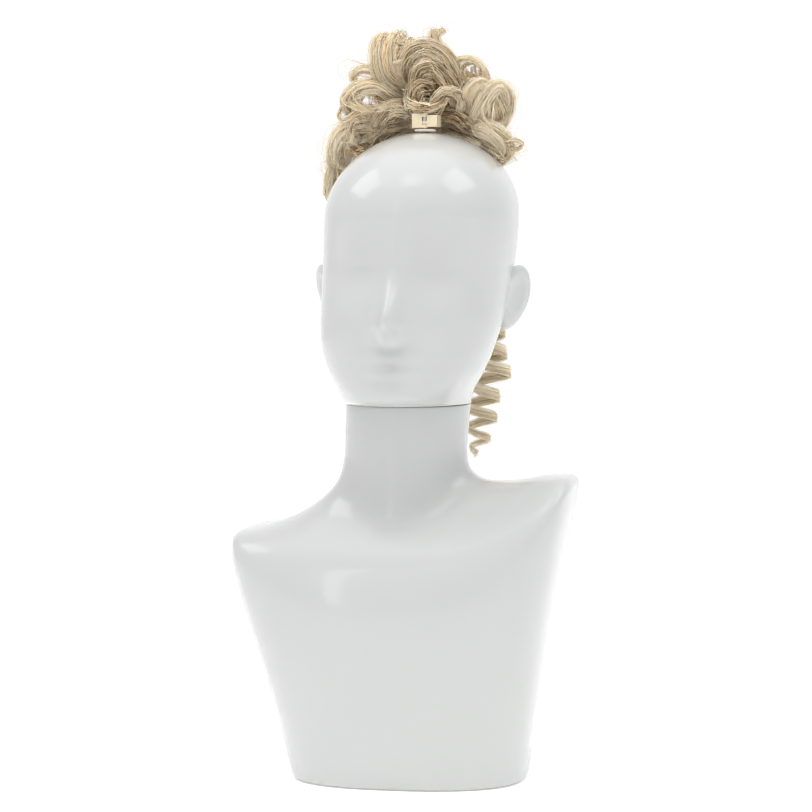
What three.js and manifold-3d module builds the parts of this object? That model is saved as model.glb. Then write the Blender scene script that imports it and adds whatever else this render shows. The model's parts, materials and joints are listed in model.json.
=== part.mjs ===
// A display and styling head: a glossy bust with a lift-off head that turns on a spigot,
// wearing a curly clip-on hairpiece held at the crown by a small sprung jaw clip.
// Millimetres, +Z up. The face looks along -Y, its own left side is +X.
// The origin is the middle of the felt's underside, on the table.
import * as THREE from 'three';
import { mergeGeometries, mergeVertices } from 'three/addons/utils/BufferGeometryUtils.js';
import Module from 'manifold-3d';

const wasm = await Module();
wasm.setup();

// ---- driving dimensions ----
const WALL = 3.2; // moulded shell
const FIT = 0.4; // gap between touching pieces
const SEAM_Z = 294.4; // joint between neck and head
const NECK_R = 48.4;
const LEAN = 0.061; // sideways lean of neck and head, per mm of height
const LEAN_FROM = 254; // height where the lean starts
const DOME_Z = 440; // centre height of the skull dome
const DOME_H = 65.8;
const CROWN_Z = DOME_Z + DOME_H;

const FELT_T = 2.4;
const BOARD_T = 9;
const RIM_LIFT = 0.6; // the shell's rim stays just off the table
const CLEAT = { width: 34, depth: 34, height: 16 };
const SCREW = { r: 1.9, headR: 3.8, length: 21 };

const SPIGOT_R = 6;
const THREAD_R = 5.2;
const COLLAR = { r: 11, t: 2.2 };
const NECK_BOARD = { top: 291.6, t: 12 };
const THRUST = { inner: 12, outer: 24, t: 3.6 };
const HEAD_BOARD = { t: 10 };
const BUSH = { outer: 9.2, flangeR: 13, flangeT: 2 };

const CLIP = { x: 15.4, y: -2.2, bottom: 509.2, height: 11.2, pinR: 0.8, knuckleR: 2.4 };
const STALK = { x: 15.4, y: 9, r: 6.2 };

// ---- colours ----
const shellWhite = { color: 0xe9e9e7, roughness: 0.18, metalness: 0 };
const board = { color: 0xc9a876, roughness: 0.75, metalness: 0 };
const felt = { color: 0x3a3c40, roughness: 0.95, metalness: 0 };
const steel = { color: 0xb9bcc0, roughness: 0.3, metalness: 1 };
const nylon = { color: 0xefece2, roughness: 0.5, metalness: 0 };
const cream = { color: 0xecd9b0, roughness: 0.35, metalness: 0 };
const putty = { color: 0xf0e2dc, roughness: 0.7, metalness: 0 };
const hair = { color: 0xd3c0a0, roughness: 0.5, metalness: 0 };
const hairDark = { color: 0x9c8762, roughness: 0.55, metalness: 0 };
const elastic = { color: 0xcdb893, roughness: 0.85, metalness: 0 };

const model = new THREE.Group();
const bust = new THREE.Group();
const head = new THREE.Group();
const hairpiece = new THREE.Group();
const clip = new THREE.Group();
model.add(bust, head, hairpiece, clip);

function put(group, name, geometry, look) {
  const mesh = new THREE.Mesh(geometry, new THREE.MeshStandardMaterial(look));
  mesh.name = name;
  group.add(mesh);
  return mesh;
}

// ---- solid helpers ----
function toSolid(geometry) {
  const bare = geometry.clone();
  bare.deleteAttribute('normal');
  bare.deleteAttribute('uv');
  const merged = mergeVertices(bare, 1e-4);
  const vertProperties = new Float32Array(merged.attributes.position.array);
  const triVerts = new Uint32Array(merged.index.array);
  return new wasm.Manifold(new wasm.Mesh({ numProp: 3, vertProperties, triVerts }));
}

function toGeometry(solid) {
  const mesh = solid.getMesh();
  const geometry = new THREE.BufferGeometry();
  geometry.setAttribute('position', new THREE.BufferAttribute(mesh.vertProperties, 3));
  geometry.setIndex(new THREE.BufferAttribute(mesh.triVerts, 1));
  return geometry;
}

// Cylinder along Z from its lower end.
function rod(r, height, x, y, z, sides = 24) {
  const geometry = new THREE.CylinderGeometry(r, r, height, sides);
  geometry.rotateX(Math.PI / 2);
  return geometry.translate(x, y, z + height / 2);
}

// Ring or stepped round piece about a vertical line; the profile closes on itself or on the axis.
function turned(points, x, y, sides = 32) {
  const profile = points.map(([r, z]) => new THREE.Vector2(r, z));
  const geometry = new THREE.LatheGeometry(profile, sides);
  geometry.rotateX(Math.PI / 2);
  return geometry.translate(x, y, 0);
}

function ring(inner, outer, z0, z1, x, y, sides = 32) {
  return turned([[inner, z0], [outer, z0], [outer, z1], [inner, z1], [inner, z0]], x, y, sides);
}

// ---- curves through stations ----
// Uniform Catmull-Rom through rows of numbers; t runs from 0 to rows.length - 1.
function along(rows, t) {
  const i = Math.min(Math.floor(t), rows.length - 2);
  const f = t - i;
  const at = (k) => rows[Math.max(0, Math.min(rows.length - 1, k))];
  return rows[0].map((_, c) => {
    const [a, b, d, e] = [at(i - 1)[c], at(i)[c], at(i + 1)[c], at(i + 2)[c]];
    const curve = (2 * a - 5 * b + 4 * d - e) * f * f + (3 * b - a - 3 * d + e) * f * f * f;
    return 0.5 * (2 * b + (d - a) * f + curve);
  });
}

const power = (v, p) => Math.sign(v) * Math.abs(v) ** p;
const bump = (d, width) => Math.exp(-0.5 * (d / width) ** 2);

// Sideways shift of a height on the leaning neck and head, easing in over EASE.
const EASE = 12;
function leanAt(z) {
  const above = Math.max(0, z - LEAN_FROM);
  return LEAN * above * above / (above + EASE);
}
const AXIS_X = leanAt(SEAM_Z); // the turning axis stands on the end of the leaning neck

// Rows of a closed grid of points, turned into one geometry. Each row is a ring of points.
function skin(rows, { startPole = null, endPole = null, loop = false } = {}) {
  const n = rows[0].length;
  const position = rows.flat(2);
  const index = [];
  const last = loop ? rows.length : rows.length - 1;
  for (let k = 0; k < last; k++) {
    const here = k * n;
    const next = ((k + 1) % rows.length) * n;
    for (let j = 0; j < n; j++) {
      const j1 = (j + 1) % n;
      index.push(here + j, here + j1, next + j1, here + j, next + j1, next + j);
    }
  }
  const fan = (pole, k, flip) => {
    const apex = position.length / 3;
    position.push(...pole);
    for (let j = 0; j < n; j++) {
      const pair = [k * n + j, k * n + ((j + 1) % n)];
      if (flip) pair.reverse();
      index.push(...pair, apex);
    }
  };
  if (startPole) fan(startPole, 0, true);
  if (endPole) fan(endPole, rows.length - 1, false);
  const geometry = new THREE.BufferGeometry();
  geometry.setAttribute('position', new THREE.Float32BufferAttribute(position, 3));
  geometry.setIndex(index);
  geometry.computeVertexNormals();
  return geometry;
}

// The grid's points moved inwards along their normals: the inner face of a moulded wall.
function inwards(rows, geometry, depth) {
  const n = rows[0].length;
  const normal = geometry.attributes.normal;
  return rows.map((row, k) => row.map((p, j) => {
    const v = k * n + j;
    return [p[0] - normal.getX(v) * depth, p[1] - normal.getY(v) * depth, p[2] - normal.getZ(v) * depth];
  }));
}

// ---- bust: outer face ----
// Stations from the rim up to the end of the neck. Columns: half-width on its left and right,
// front and back depth, height on its left, right, front and back, and plan squareness.
const BUST = [
  [94, 87, 70, 70, RIM_LIFT, RIM_LIFT, RIM_LIFT, RIM_LIFT, 2.5],
  [97.5, 90, 73, 73, 7, 7, 7, 7, 2.5],
  [104.6, 100.6, 78, 76, 47, 47, 45, 47, 2.6],
  [111, 111, 84, 79, 85, 85, 80, 90, 2.8],
  [118, 122, 88.5, 81, 130, 125, 115, 130, 3.1],
  [125.8, 130.6, 88.5, 81, 174, 160, 145, 165, 3.4],
  [133.4, 133.6, 84, 78, 220, 181, 167, 188, 3.6],
  [132.5, 130.5, 77, 73, 238, 193, 181, 199, 3.4],
  [112, 108, 68, 67, 239.4, 198.6, 191, 207, 2.8],
  [86, 84, 60, 60, 235.2, 207.5, 198, 216, 2.4],
  [64, 65, 53.5, 54, 235.2, 220.5, 204, 226, 2.1],
  [51.5, 53, 49.6, 50, 243, 235, 216, 239, 2],
  [NECK_R, NECK_R, NECK_R, NECK_R, 256, 254, 240, 256, 2],
  [NECK_R, NECK_R, NECK_R, NECK_R, 275, 275, 268, 275, 2],
  [NECK_R + 0.6, NECK_R + 0.6, NECK_R + 0.6, NECK_R + 0.6, SEAM_Z, SEAM_Z, SEAM_Z, SEAM_Z, 2],
];

function bustPoint(t, turn) {
  const [left, right, front, back, zLeft, zRight, zFront, zBack, square] = along(BUST, t);
  const c = Math.cos(turn);
  const s = Math.sin(turn);
  const x = (c > 0 ? left : right) * power(c, 2 / square);
  const y = (s > 0 ? back : front) * power(s, 2 / square);
  const z = (c > 0 ? zLeft : zRight) * c * c + (s > 0 ? zBack : zFront) * s * s;
  return [x + leanAt(z), y, z];
}

const BUST_SIDES = 44;
const BUST_STEPS = 23;
const bustRows = [];
for (let k = 0; k <= BUST_STEPS; k++) {
  const t = k / BUST_STEPS * (BUST.length - 1);
  bustRows.push([...Array(BUST_SIDES).keys()].map((j) => bustPoint(t, 2 * Math.PI * j / BUST_SIDES)));
}

function hollow(rows, options = {}) {
  const outer = skin(rows, options);
  const inner = inwards(rows, outer, WALL)
    .filter((row, k) => k === 0 || k === rows.length - 1 || k % 2 === 0);
  // the rims are flat rings: the inner rim keeps the outer rim's height
  inner[0] = inner[0].map((p, j) => [p[0], p[1], rows[0][j][2]]);
  return inner;
}

const bustInner = hollow(bustRows);
bustInner[bustInner.length - 1] = bustInner.at(-1).map((p) => [p[0], p[1], SEAM_Z]);
put(bust, 'bust_shell', skin([...bustRows, ...bustInner.reverse()], { loop: true }), shellWhite);

// the room inside the bust, one fitting gap clear of its wall
const bustRoomRows = inwards(bustRows, skin(bustRows), WALL + FIT);
const bustRoom = toSolid(skin(bustRoomRows, {
  startPole: [0, 0, bustRoomRows[0][0][2]], endPole: [AXIS_X, 0, bustRoomRows.at(-1)[0][2]],
}));

// ---- base: felt, board, cleats and screws ----
// An outline a little inside the shell's inner face at the rim.
function rimShape(gap) {
  const [left, right, front, back, , , , , square] = along(BUST, 0.3);
  const shape = new THREE.Shape();
  const sides = 56;
  for (let j = 0; j <= sides; j++) {
    const c = Math.cos(2 * Math.PI * j / sides);
    const s = Math.sin(2 * Math.PI * j / sides);
    const x = ((c > 0 ? left : right) - WALL - gap) * power(c, 2 / square);
    const y = ((s > 0 ? back : front) - WALL - gap) * power(s, 2 / square);
    if (j === 0) shape.moveTo(x, y);
    else shape.lineTo(x, y);
  }
  return shape;
}

const RIM_GAP = 2.2;
const boardBottom = FELT_T + FIT;
const boardTop = boardBottom + BOARD_T;
const flat = (depth) => ({ depth, bevelEnabled: false, curveSegments: 1 });
put(bust, 'base_felt', new THREE.ExtrudeGeometry(rimShape(RIM_GAP + 2), flat(FELT_T)), felt);

const cleatSpots = [
  [70, 26], [-66, 26], [-66, -26], [70, -26],
];
const boardBlank = new THREE.ExtrudeGeometry(rimShape(RIM_GAP), flat(BOARD_T));
let baseBoard = toSolid(boardBlank.translate(0, 0, boardBottom));
cleatSpots.forEach(([x, y], i) => {
  const number = i + 1;
  const screwBottom = boardBottom + FIT;
  const shank = toSolid(rod(SCREW.r + FIT, SCREW.length + 2, x, y, screwBottom, 16));
  const sink = toSolid(turned([
    [0, boardBottom - 1], [SCREW.headR + FIT + 1, boardBottom - 1],
    [SCREW.r + FIT, boardBottom + SCREW.headR + FIT], [0, boardBottom + SCREW.headR + FIT],
  ], x, y, 16));
  baseBoard = baseBoard.subtract(shank).subtract(sink);
  const block = new THREE.BoxGeometry(CLEAT.depth, CLEAT.width, CLEAT.height);
  block.translate(x + Math.sign(x) * CLEAT.depth / 4, y, boardTop + FIT + CLEAT.height / 2);
  put(bust, `cleat_${number}`, toGeometry(toSolid(block).intersect(bustRoom).subtract(shank)), board);
  put(bust, `base_screw_${number}`, turned([
    [0, screwBottom], [SCREW.headR, screwBottom], [SCREW.r, screwBottom + SCREW.headR - 0.6],
    [SCREW.r, screwBottom + SCREW.length - 3], [0, screwBottom + SCREW.length],
  ], x, y, 12), steel);
});
put(bust, 'base_board', toGeometry(baseBoard), board);

// ---- neck: board, spigot, washer, nut and thrust ring ----
const neckBoardBottom = NECK_BOARD.top - NECK_BOARD.t;
const neckBoard = toSolid(ring(SPIGOT_R + FIT, NECK_R + 2, neckBoardBottom, NECK_BOARD.top, AXIS_X, 0, 40));
put(bust, 'neck_board', toGeometry(neckBoard.intersect(bustRoom)), board);
const collarTop = NECK_BOARD.top + FIT + COLLAR.t;
put(bust, 'neck_spigot', turned([
  [0, neckBoardBottom - 12], [THREAD_R, neckBoardBottom - 12], [THREAD_R, NECK_BOARD.top + FIT],
  [COLLAR.r, NECK_BOARD.top + FIT], [COLLAR.r, collarTop], [SPIGOT_R, collarTop],
  [SPIGOT_R, 318], [SPIGOT_R - 2, 321], [0, 321],
], AXIS_X, 0, 24), steel);
const washerTop = neckBoardBottom - FIT;
put(bust, 'neck_washer', ring(SPIGOT_R, 14, washerTop - 1.6, washerTop, AXIS_X, 0, 24), steel);
const nutTop = neckBoardBottom - 2 * FIT - 1.6;
const nutBore = toSolid(rod(THREAD_R + FIT, 9, AXIS_X, 0, nutTop - 8));
const nut = toSolid(rod(10, 7, AXIS_X, 0, nutTop - 7, 6)).subtract(nutBore);
put(bust, 'neck_nut', toGeometry(nut), steel);
const thrustTop = NECK_BOARD.top + FIT + THRUST.t;
const thrustBottom = NECK_BOARD.top + FIT;
put(bust, 'thrust_ring', ring(THRUST.inner, THRUST.outer, thrustBottom, thrustTop, AXIS_X, 0), nylon);

// ---- head: outer face ----
// Stations from the seam up to the dome. Columns: height, half-width, front and back depth,
// and how far forward (-) or back (+) the widest point lies.
const HEAD = [
  [SEAM_Z + FIT, NECK_R + 0.6, NECK_R + 0.6, NECK_R + 0.6, 0],
  [295.6, 49.2, 70, 50, -1],
  [298.5, 49.6, 84, 51.5, -3],
  [304, 51.2, 89, 54, -6],
  [312, 55, 90.4, 58.5, -10],
  [321, 59.8, 89.5, 64, -13],
  [331, 63.8, 89, 71, -14],
  [343, 67, 89, 78, -13],
  [357, 69.8, 88.5, 85, -6],
  [375, 72, 88, 91, 5],
  [393, 73.4, 88.3, 94.5, 12],
  [412, 74.4, 90, 96, 16],
  [430, 75, 92.2, 95.6, 17],
  [DOME_Z, 75, 93, 95, 16],
];
const DOME_ROWS = 7;
const FACE_ROWS = 24;

// Forward relief of the face at x across and z up, over the smooth mask.
function relief(x, z) {
  const side = Math.abs(x);
  const nose = bump(z - 362, z > 362 ? 18 : 9) * (11 * bump(x, 11) + 13 * bump(x, 5.2));
  const wings = 1.6 * bump(side - 8, 4.5) * bump(z - 355, 7);
  const keel = 2.6 * bump(x, 6.5) * bump(z - 415, 32);
  const socket = -8 * bump(side - 28, 15) * bump(z - 402, 17);
  const cheek = 2.6 * bump(side - 44, 14) * bump(z - 368, 13);
  const upperLip = 2.8 * bump(x, 14) * bump(z - 334.5, 4.5);
  const lowerLip = 3 * bump(x, 12) * bump(z - 322.5, 4.5);
  const chin = 1.6 * bump(x, 13) * bump(z - 305.5, 6);
  return nose + wings + keel + socket + cheek + upperLip + lowerLip + chin;
}

function headPoint(t, turn) {
  let z;
  let halfWidth;
  let front;
  let back;
  let middle;
  if (t <= HEAD.length - 1) [z, halfWidth, front, back, middle] = along(HEAD, t);
  else {
    const rise = (t - HEAD.length + 1) * Math.PI / 2;
    const [, w, f, b, m] = HEAD.at(-1);
    const taper = Math.cos(rise);
    z = DOME_Z + DOME_H * Math.sin(rise);
    halfWidth = w * taper;
    middle = 6 + (m - 6) * taper;
    front = (f + m) * taper - middle;
    back = (b - m) * taper + middle;
  }
  const c = Math.cos(turn);
  const s = Math.sin(turn);
  const x = halfWidth * power(c, 0.94);
  let y = middle + (s > 0 ? back - middle : front + middle) * power(s, 0.94);
  if (s < 0) y -= relief(x, z) * Math.min(1, s * s * 1.6);
  return [x + leanAt(z), y, z];
}

const HEAD_SIDES = 48;
const headRows = [];
for (let k = 0; k <= FACE_ROWS; k++) {
  const t = k / FACE_ROWS * (HEAD.length - 1);
  headRows.push([...Array(HEAD_SIDES).keys()].map((j) => headPoint(t, 2 * Math.PI * j / HEAD_SIDES)));
}
for (let k = 1; k < DOME_ROWS; k++) {
  const t = HEAD.length - 1 + k / DOME_ROWS;
  headRows.push([...Array(HEAD_SIDES).keys()].map((j) => headPoint(t, 2 * Math.PI * j / HEAD_SIDES)));
}
const crownX = leanAt(CROWN_Z);
const headOuter = toSolid(closedHead(headRows, CROWN_Z));
const headSkin = skin(headRows, { endPole: [crownX, 6, CROWN_Z] });
const headInnerRows = inwards(headRows, headSkin, WALL)
  .filter((row, k) => k % 2 === 0 || k === headRows.length - 1);
// carried 5 mm below the seam, so that the hollow opens through the neck ring
headInnerRows[0] = headInnerRows[0].map((p) => [p[0], p[1], SEAM_Z - 5]);
const headHollow = toSolid(closedHead(headInnerRows, CROWN_Z - WALL));
const headRoomRows = inwards(headInnerRows, skin(headInnerRows), FIT);
headRoomRows[0] = headRoomRows[0].map((p) => [p[0], p[1], SEAM_Z - 5]);
const headRoom = toSolid(closedHead(headRoomRows, CROWN_Z - WALL - FIT));

function closedHead(rows, top) {
  const bottom = rows[0].reduce((sum, p) => [sum[0] + p[0], sum[1] + p[1], p[2]], [0, 0, 0]);
  const startPole = [bottom[0] / rows[0].length, bottom[1] / rows[0].length, bottom[2]];
  return skin(rows, { startPole, endPole: [crownX, 6, top] });
}

// An ear: a flattened leaf standing off the side of the head, scooped at its front.
const EAR = { x: 73.8, y: 28, z: 377, tall: 26.5, deep: 17, thick: 5, flare: 0.62, tilt: 0.12, splay: 0.3 };
function ear(side) {
  const leaf = new THREE.SphereGeometry(1, 16, 12);
  leaf.scale(EAR.thick, EAR.deep, EAR.tall);
  const bowl = new THREE.SphereGeometry(1, 12, 8);
  bowl.scale(4.4, 10, 14).translate(5.6, -1.5, 3);
  const solid = toSolid(leaf).subtract(toSolid(bowl));
  const place = new THREE.Matrix4().makeTranslation(side * EAR.x + leanAt(EAR.z), EAR.y, EAR.z);
  place.multiply(new THREE.Matrix4().makeRotationZ(-side * EAR.flare));
  place.multiply(new THREE.Matrix4().makeRotationX(EAR.tilt));
  place.multiply(new THREE.Matrix4().makeRotationY(side * EAR.splay));
  if (side < 0) place.multiply(new THREE.Matrix4().makeRotationZ(Math.PI));
  const shaped = side < 0 ? toGeometry(solid).scale(1, -1, 1) : toGeometry(solid);
  if (side < 0) {
    const index = shaped.index.array;
    for (let i = 0; i < index.length; i += 3) [index[i], index[i + 1]] = [index[i + 1], index[i]];
  }
  return toSolid(shaped.applyMatrix4(place));
}

// the skull with a little air round it, which the soft hair is cut back from
const AIR = 0.7;
const headAir = toSolid(closedHead(inwards(headRows, headSkin, -AIR), CROWN_Z + AIR));
const headSolid = headOuter.add(ear(1)).add(ear(-1)).subtract(headHollow);
put(head, 'head_shell', toGeometry(headSolid), shellWhite);

const headBoardBottom = thrustTop + FIT;
const headBoardTop = headBoardBottom + HEAD_BOARD.t;
const headBoard = toSolid(ring(BUSH.outer + FIT, NECK_R + 2, headBoardBottom, headBoardTop, AXIS_X, 0, 40));
put(head, 'head_board', toGeometry(headBoard.intersect(headRoom)), board);
put(head, 'head_bush', turned([
  [SPIGOT_R + 0.15, headBoardBottom], [BUSH.outer, headBoardBottom], [BUSH.outer, headBoardTop + FIT],
  [BUSH.flangeR, headBoardTop + FIT], [BUSH.flangeR, headBoardTop + FIT + BUSH.flangeT],
  [SPIGOT_R + 0.15, headBoardTop + FIT + BUSH.flangeT], [SPIGOT_R + 0.15, headBoardBottom],
], AXIS_X, 0, 24), nylon);

// ---- hairpiece: pad, stalk, band and clip ----
const padZ = CROWN_Z + 0.3;
put(hairpiece, 'crown_pad', turned([
  [0, padZ], [8, padZ], [9, padZ + 0.9], [7.6, padZ + 2.2], [0, padZ + 2.4],
], STALK.x, 0, 16), putty);
const stalkBottom = padZ + 2.8;
put(hairpiece, 'hair_stalk', turned([
  [0, stalkBottom], [STALK.r - 1, stalkBottom], [STALK.r - 0.6, 512], [STALK.r - 0.6, 526], [0, 526],
], STALK.x, STALK.y, 14), hairDark);
put(hairpiece, 'hair_elastic', ring(STALK.r, STALK.r + 2.4, 522, 525.6, STALK.x, STALK.y, 18), elastic);

const third = CLIP.height / 4;
put(hairpiece, 'clip_pin', rod(CLIP.pinR, CLIP.height + 1, CLIP.x, CLIP.y, CLIP.bottom - 0.5, 12), steel);
put(hairpiece, 'clip_spring', ring(
  CLIP.pinR + 0.4, CLIP.knuckleR - 0.3, CLIP.bottom + 2 * third + 0.3, CLIP.bottom + 3 * third - 0.3,
  CLIP.x, CLIP.y, 14), steel);

// A jaw: a curved arm round the stalk, a thumb plate in front, and the knuckles on the pin.
function jaw(side, z0, z1, knuckles) {
  const clear = STALK.r + 1.6;
  const outline = new THREE.Shape();
  const reach = CLIP.y - STALK.y;
  outline.absarc(0, 0, clear + 3, -Math.PI / 2 + 0.16, Math.PI / 2 - 0.12, false);
  outline.absarc(0, 0, clear, Math.PI / 2 - 0.12, -Math.PI / 2 + 0.16, true);
  outline.closePath();
  const arm = new THREE.ExtrudeGeometry(outline, { depth: z1 - z0, bevelEnabled: false, curveSegments: 12 });
  arm.translate(0, 0, z0);
  const plate = new THREE.BoxGeometry(9, 4.2, z1 - z0);
  plate.translate(5.4, reach, (z0 + z1) / 2);
  let solid = toSolid(arm).add(toSolid(plate));
  for (const [a, b] of knuckles) solid = solid.add(toSolid(rod(CLIP.knuckleR, b - a, 0, reach, a, 14)));
  solid = solid.subtract(toSolid(rod(CLIP.pinR + 0.05, CLIP.height + 4, 0, reach, z0 - 2, 12)));
  const zone = (a, b) => toSolid(rod(CLIP.knuckleR + 0.4, b - a, 0, reach, a, 16));
  let low = Math.min(z0, CLIP.bottom) - 1;
  for (const [a, b] of [...knuckles, [CLIP.bottom + CLIP.height + 2, 0]]) {
    solid = solid.subtract(zone(low, a));
    low = b;
  }
  const turn = new THREE.Matrix4().makeTranslation(STALK.x, STALK.y, 0);
  const geometry = toGeometry(solid);
  if (side < 0) {
    geometry.scale(-1, 1, 1);
    const index = geometry.index.array;
    for (let i = 0; i < index.length; i += 3) [index[i], index[i + 1]] = [index[i + 1], index[i]];
  }
  return geometry.applyMatrix4(turn);
}

const lower = CLIP.bottom;
const upper = CLIP.bottom + CLIP.height;
const middleKnuckle = [[lower + third + 0.2, lower + 2 * third]];
const outerKnuckles = [[lower, lower + third - 0.2], [lower + 3 * third, upper]];
put(clip, 'jaw_left', jaw(1, lower + 0.8, upper - 1.2, middleKnuckle), cream);
put(clip, 'jaw_right', jaw(-1, lower, upper, outerKnuckles), cream);

// ---- hairpiece: soft masses of curls ----
// Room that is already taken: the skull, the swing of the clip's jaws, the band, and each mass in turn.
const swing = new THREE.BoxGeometry(46, 36, 16.4).translate(CLIP.x, 5, CLIP.bottom + 4.2);
let taken = headAir.add(toSolid(swing)).add(toSolid(rod(STALK.r + 3, 22, STALK.x, STALK.y, 506)));

function putHair(name, geometryAt, look) {
  put(hairpiece, name, toGeometry(toSolid(geometryAt(0)).subtract(taken)), look);
  taken = taken.add(toSolid(geometryAt(FIT + 0.2)));
}

// A rounded lump: centre, half sizes and turn about the view axis.
function lump(name, [x, y, z], [rx, ry, rz], roll = 0, look = hair) {
  putHair(name, (air) => {
    const geometry = new THREE.SphereGeometry(1, 14, 9);
    return geometry.scale(rx + air, ry + air, rz + air).rotateY(roll).translate(x, y, z);
  }, look);
}

lump('hair_core', [15, 44, 536], [27, 25, 20], 0, hairDark);
lump('curl_roll', [-15, 20, 563], [18, 20, 18]);
lump('curl_arch', [17, 20, 558], [17.5, 20, 17]);
lump('curl_top', [24, 30, 580], [9, 12, 9]);
lump('curl_loop', [50, 22, 553], [15.5, 16, 14]);
lump('curl_left', [62, 31, 525], [17, 24, 18]);
lump('curl_low_left', [67, 34, 496], [14, 20, 14]);
lump('curl_right', [-33, 27, 530], [20, 24, 17]);
lump('curl_low_right', [-46, 42, 500], [18, 24, 16], 0.5);
lump('curl_back', [15, 84, 528], [44, 18, 32]);

// A hanging sheet of curls: ovals stacked along a curve, listed from the top down.
function fall(name, stops, look = hair) {
  const sides = 14;
  const steps = (stops.length - 1) * 2;
  const [top, bottom] = [stops[0], stops.at(-1)];
  putHair(name, (air) => {
    const rows = [];
    for (let k = steps; k >= 0; k--) {
      const [x, y, z, rx, ry] = along(stops, k / 2);
      rows.push([...Array(sides).keys()].map((j) => {
        const a = 2 * Math.PI * j / sides;
        return [x + (rx + air) * Math.cos(a), y + (ry + air) * Math.sin(a), z];
      }));
    }
    const startPole = [bottom[0], bottom[1], bottom[2] - 2 - air];
    return skin(rows, { startPole, endPole: [top[0], top[1], top[2] + 2 + air] });
  }, look);
}

fall('hair_side_right', [
  [-66, 60, 490, 9, 11], [-70, 63, 476, 10, 13], [-71, 65, 460, 8, 12], [-70, 66, 447, 4, 7],
]);
fall('hair_tail', [
  [4, 122, 492, 40, 12], [2, 119, 470, 46, 15], [-2, 116.5, 430, 44, 15.5], [-4, 116, 390, 41, 15.5],
  [-5, 115.5, 350, 37, 15], [-5, 115, 310, 33, 14.5], [-4, 114, 275, 26, 12], [-3, 113, 252, 14, 8],
]);
fall('ringlet', [
  [56, 100, 474, 8, 9], [55, 105, 440, 9, 9], [54, 106, 400, 9.5, 9.5], [54, 105, 350, 11, 11],
  [52, 104, 315, 12, 12], [48, 103, 285, 12, 12], [40, 102, 258, 8, 8], [34, 101, 246, 3, 3],
]);

export default model;
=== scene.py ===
"""A glossy white display bust with a turning head and a curly hairpiece clipped on its crown.

Each operator builds one piece, or one group of like pieces, around the loaded frame.
"""

import json
import math
import random

import bmesh
import bpy
from bpy.props import FloatProperty, FloatVectorProperty, IntProperty, PointerProperty
from mathutils import Matrix, Vector, noise


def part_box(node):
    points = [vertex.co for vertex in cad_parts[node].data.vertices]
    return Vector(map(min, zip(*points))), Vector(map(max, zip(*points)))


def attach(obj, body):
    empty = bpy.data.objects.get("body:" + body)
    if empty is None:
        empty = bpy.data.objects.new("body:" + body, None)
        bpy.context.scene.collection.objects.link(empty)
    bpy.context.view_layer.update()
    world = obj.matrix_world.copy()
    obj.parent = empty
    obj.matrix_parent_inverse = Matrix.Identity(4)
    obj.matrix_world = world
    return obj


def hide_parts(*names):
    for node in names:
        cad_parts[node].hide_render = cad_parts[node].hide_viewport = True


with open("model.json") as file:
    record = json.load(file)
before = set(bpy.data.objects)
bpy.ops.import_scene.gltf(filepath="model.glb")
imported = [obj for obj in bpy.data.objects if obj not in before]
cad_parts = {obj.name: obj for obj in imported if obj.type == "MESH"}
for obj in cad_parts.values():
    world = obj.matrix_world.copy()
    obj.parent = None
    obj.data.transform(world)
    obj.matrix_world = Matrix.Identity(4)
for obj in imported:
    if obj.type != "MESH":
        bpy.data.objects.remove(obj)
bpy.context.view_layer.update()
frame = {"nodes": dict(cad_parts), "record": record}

bl_info = {
    "name": "Display Bust With Clip-On Curls",
    "version": (1, 0, 0),
    "blender": (4, 5, 0),
    "location": "View3D > Sidebar > Display Bust",
    "description": "Builds a glossy display bust, its turning head and a clipped curly hairpiece",
    "category": "Object",
}

MM = 0.001
NODES = frame["nodes"]
SEAM_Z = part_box("bust_shell")[1].z / MM
HEAD_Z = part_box("head_shell")[0].z / MM
CROWN = Vector((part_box("crown_pad")[0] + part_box("crown_pad")[1]) / 2) / MM


# ---- shader helpers ----
class Sock:
    """A shader socket that adds Math nodes when it is used in an expression."""

    def __init__(self, tree, socket):
        self.tree = tree
        self.socket = socket

    def _math(self, operation, *values):
        node = self.tree.nodes.new("ShaderNodeMath")
        node.operation = operation
        for slot, value in zip(node.inputs, values):
            if isinstance(value, Sock):
                self.tree.links.new(value.socket, slot)
            else:
                slot.default_value = value
        return Sock(self.tree, node.outputs[0])

    def __add__(self, other):
        return self._math("ADD", self, other)

    __radd__ = __add__

    def __mul__(self, other):
        return self._math("MULTIPLY", self, other)

    __rmul__ = __mul__

    def __sub__(self, other):
        return self._math("SUBTRACT", self, other)

    def __rsub__(self, other):
        return self._math("SUBTRACT", other, self)

    def __pow__(self, other):
        return self._math("POWER", self, other)


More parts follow.
